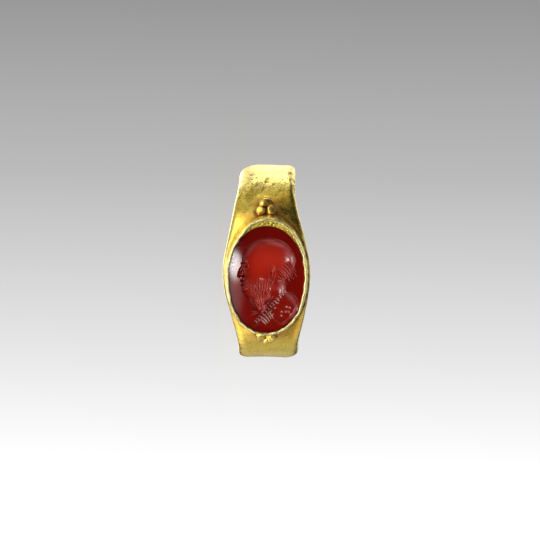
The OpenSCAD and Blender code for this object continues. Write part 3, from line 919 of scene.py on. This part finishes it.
def stoneMaterial():
    made, tree, shader, point = startMaterial("carnelian")
    cloud = placeGroup(tree, blotches, point, carnelian["cloud"])
    lines = placeGroup(tree, hairlines, point, carnelian["lines"])
    patches = placeGroup(tree, blotches, point, carnelian["scuffPattern"])
    cut, fine, scuff, matt = masksOf(tree, "cut", "fineCut", "scuff", "matt")
    colour = mixColours(tree, cloud, carnelian["dark"], carnelian["light"])
    deep = calculate(tree, "POWER", cut, carnelian["cutPower"])
    colour = mixColours(tree, deep, colour, carnelian["cut"])
    # the fine strokes lighter: cut, partly painted highlight
    fine = calculate(tree, "MULTIPLY", fine, carnelian["fineShare"])
    colour = mixColours(tree, fine, colour, carnelian["fine"])
    # matt marks pale: matt floors, partly painted glint
    matt = calculate(tree, "MULTIPLY", matt, carnelian["mattShare"])
    colour = mixColours(tree, matt, colour, carnelian["matt"])
    # painted reflection at the upper left of the rim
    scuff = calculate(tree, "MULTIPLY", scuff, patches)
    colour = mixColours(tree, scuff, colour, carnelian["scuff"])
    rough = calculate(tree, "MULTIPLY_ADD", cut, carnelian["cutRougher"], carnelian["roughness"])
    rough = calculate(tree, "MULTIPLY_ADD", lines, carnelian["linesRougher"], rough)
    height = calculate(tree, "MULTIPLY", lines, -1.0)
    bump = addNode(tree, "ShaderNodeBump", {"Height": height, **carnelian["bump"]})
    setInputs(tree, shader, {
        "Base Color": colour, "Roughness": rough, "Normal": bump.outputs["Normal"],
        "IOR": carnelian["refraction"], "Specular IOR Level": carnelian["specular"],
    })
    return made


for piece, material, slot in (
    (hoopPiece, goldMaterial("wornGold"), "gold"),
    (collarPiece, goldMaterial("rubbedGold"), "gold"),
    (globulePiece, goldMaterial("globuleGold"), "gold"),
    (stonePiece, stoneMaterial(), "carnelian"),
):
    piece.data.materials.clear()
    piece.data.materials.append(material)
    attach(piece, "root")
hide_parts("gold_ring")
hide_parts("intaglio")
print("6. gold and carnelian are on")

# ---- studio: a pale floor, soft lights, and the camera
studio = {
    "floorSize": 6.0,
    "floorLevel": -0.00005,
    "floorColour": (0.08, 0.08, 0.08, 1),
    # painted light: the floor glows, darker towards the picture's top and brighter towards its bottom
    "shades": [(-0.032, 0.265), (-0.010, 0.465), (0.0, 0.61), (0.012, 0.79), (0.026, 1.03)],
    "shadeTurn": 8.5,
    "shadeSpread": 0.6,  # the shades fan out from a point this far in front of the ring
    "narrowest": 0.4,  # and never get narrower than this
    "narrowestPool": 0.6,
    # and in a painted pool of light round the ring, dimmer away from it
    "surround": 0.2,  # how bright the floor is away from the ring
    "pool": (0.055, 0.16),  # it dims from here to here beside the ring, and in front of it
    "front": (-0.34, -0.22),
    "haze": 0.02,  # light from all round
}
bpy.ops.object.select_all(action="DESELECT")
bpy.ops.mesh.primitive_plane_add(size=studio["floorSize"], location=(0, 0, studio["floorLevel"]))
floor = bpy.context.object
floor.name = "floor"
floorMaterial, tree, shader, point = startMaterial("paleFloor")
turnNode = addNode(tree, "ShaderNodeMapping", {
    "Vector": point, "Rotation": (0, 0, math.radians(studio["shadeTurn"])),
})
split = addNode(tree, "ShaderNodeSeparateXYZ", {"Vector": turnNode.outputs["Vector"]}).outputs
widen = calculate(tree, "MULTIPLY_ADD", split["Y"], 1 / studio["shadeSpread"], 1.0)
widen = calculate(tree, "MAXIMUM", widen, studio["narrowest"])
low, high = studio["shades"][0][0], studio["shades"][-1][0]
spread = addNode(tree, "ShaderNodeMapRange", {
    "Value": calculate(tree, "DIVIDE", split["X"], widen), "From Min": low, "From Max": high,
})
shades = addNode(tree, "ShaderNodeValToRGB", {"Fac": spread.outputs["Result"]})
while len(shades.color_ramp.elements) < len(studio["shades"]):
    shades.color_ramp.elements.new(0.5)
for element, (at, shade) in zip(shades.color_ramp.elements, studio["shades"]):
    element.position = (at - low) / (high - low)
    element.color = (shade, shade, shade, 1)
widen = calculate(tree, "MAXIMUM", widen, studio["narrowestPool"])
near = calculate(tree, "DIVIDE", calculate(tree, "ABSOLUTE", split["X"]), widen)
pool = 1.0
for away, (start, end), first, last in (
    (near, studio["pool"], 1.0, studio["surround"]),
    (split["Y"], studio["front"], studio["surround"], 1.0),
):
    fade = addNode(tree, "ShaderNodeMapRange", {
        "Value": away, "From Min": start, "From Max": end, "To Min": first, "To Max": last,
    })
    pool = calculate(tree, "MULTIPLY", pool, fade.outputs["Result"])
# painted light: the floor's glow, graded from the picture's top to its bottom and pooled round the ring
setInputs(tree, shader, {
    "Base Color": studio["floorColour"], "Roughness": 0.9, "Specular IOR Level": 0.0,
    "Emission Color": shades.outputs["Color"], "Emission Strength": pool,
})
floor.data.materials.append(floorMaterial)

for ray in ("glossy", "diffuse", "shadow"):  # the ring is lit and mirrored by the studio's soft lights alone
    setattr(floor, "visible_" + ray, False)

# soft round lights: degrees round from the collar's axis towards the picture's top, and to its right,
# degrees from the light's middle to where it starts to fade and to where it ends, brightness
lights = {
    "band": (130, 0, 2, 6, 6.5),
    "bandAbove": (118, 0, 2, 8, 1.8),
    "topRim": (160, 0, 3, 14, 1.7),
    "topLeft": (150, -29, 6, 24, 0.95),
    "topRight": (150, 27, 6, 26, 1.1),
    "shoulderTop": (113, -12, 3, 10, 1.4),
    "top": (100, 0, 3, 13, 0.3),
    "topGap": (144, 0, 3, 11, 1.5),
    "topGapLeft": (140, -16, 3, 11, 0.9),
    "globuleTops": (74, -6, 2, 9, 2.2),
    "upperLeft": (58, -28, 6, 26, 1.75),
    "upperFarLeft": (60, -40, 4, 16, 1.7),
    "midLeft": (90, -27, 6, 26, 0.3),
    "farLeft": (0, -60, 8, 32, 2.2),
    "farTopLeft": (90, -58, 8, 32, 0.5),
    "farRight": (0, 60, 8, 30, 0.45),
    "lowerLeft": (-32, -27, 6, 24, 0.8),
    "lowerRight": (-40, 27, 6, 24, 0.5),
    "lower": (-52, 0, 3, 14, 1.1),
    "bowl": (-33, -6, 3, 12, 1.1),
    "bottomLeft": (-90, -27, 6, 26, 1.8),
    "bottomRight": (-90, 27, 6, 26, 0.62),
    "bottom": (-113, 0, 3, 14, 0.6),
    "bottomRim": (-141, 0, 3, 16, 0.6),
    "underLeft": (-120, -27, 6, 26, 0.9),
    "underRight": (-120, 27, 6, 26, 0.6),
    "glint": (-5.5, -14.5, 1, 4, 18.0),
    "sheen": (-12, -18, 2, 9, 1.4),
    "sheenHead": (-9, -31, 3, 9, 8.0),
    "sheenUpper": (17, -24, 2, 9, 0.9),
    "overhead": (0, 90, 10, 45, 0.6),
    "behind": (180, 0, 6, 26, 0.7),
    "behindLeft": (180, -30, 6, 28, 2.2),
    "behindRight": (180, 27, 6, 26, 0.8),
}
bpy.context.scene.world = bpy.data.worlds.new("studio")
bpy.context.scene.world.use_nodes = True
tree = bpy.context.scene.world.node_tree
tree.nodes.clear()
direction = addNode(tree, "ShaderNodeTexCoord").outputs["Generated"]
axes = fromRing(*np.array([[1, 0, 0, 0], [0, 1, 0, 0], [0, 0, 1, 0]]).astype(float))
origin = Vector(axes[3])
towardsAxis, upAxis, rightAxis = ((Vector(axes[i]) - origin).normalized() for i in range(3))
brightness = studio["haze"]
for towardsTop, aside, inner, outer, strength in lights.values():
    towardsTop, aside = math.radians(towardsTop), math.radians(aside)
    middle = math.cos(aside) * (math.cos(towardsTop) * towardsAxis + math.sin(towardsTop) * upAxis)
    dot = addNode(tree, "ShaderNodeVectorMath", {
        0: direction, 1: middle + math.sin(aside) * rightAxis,
    }, operation="DOT_PRODUCT")
    fade = addNode(tree, "ShaderNodeMapRange", {
        "Value": dot.outputs["Value"],
        "From Min": math.cos(math.radians(outer)), "From Max": math.cos(math.radians(inner)),
    }, interpolation_type="SMOOTHSTEP")
    brightness = calculate(tree, "MULTIPLY_ADD", fade.outputs["Result"], strength, brightness)
glow = addNode(tree, "ShaderNodeBackground", {"Color": brightness})
addNode(tree, "ShaderNodeOutputWorld", {"Surface": glow.outputs["Background"]})
bpy.context.scene.view_settings.view_transform = "Standard"

camera = {
    "above": 8.5,  # degrees from the collar's own axis, towards the picture's top
    "aside": 0.2,
    "distance": 0.60,
    "fieldWidth": 0.0619,  # width of the picture at the ring
    "offCentre": (-3, 9),  # the hoop's middle right and up of the picture's, in pixels
    "pixelsPerMillimetre": 8.727,
    "sensor": 36,
    "clipping": (0.01, 20),
}
above, aside = math.radians(camera["above"]), math.radians(camera["aside"])
lookFrom = math.cos(above) * (math.cos(aside) * towardsAxis + math.sin(aside) * rightAxis)
lookFrom = lookFrom + math.sin(above) * upAxis
pictureRight = upAxis.cross(lookFrom).normalized()
pictureUp = lookFrom.cross(pictureRight).normalized()
offRight, offUp = (pixels / camera["pixelsPerMillimetre"] for pixels in camera["offCentre"])
middle = origin - (offRight * pictureRight + offUp * pictureUp) / 1000
cameraData = bpy.data.cameras.new("camera")
cameraData.sensor_width = camera["sensor"]
cameraData.lens = camera["sensor"] * camera["distance"] / camera["fieldWidth"]
cameraData.clip_start, cameraData.clip_end = camera["clipping"]
cameraPiece = bpy.data.objects.new("camera", cameraData)
bpy.context.scene.collection.objects.link(cameraPiece)
turned = Matrix((pictureRight, pictureUp, lookFrom)).transposed().to_4x4()
cameraPiece.matrix_world = Matrix.Translation(middle + lookFrom * camera["distance"]) @ turned
bpy.context.scene.camera = cameraPiece
print("7. floor, lights and camera are set")
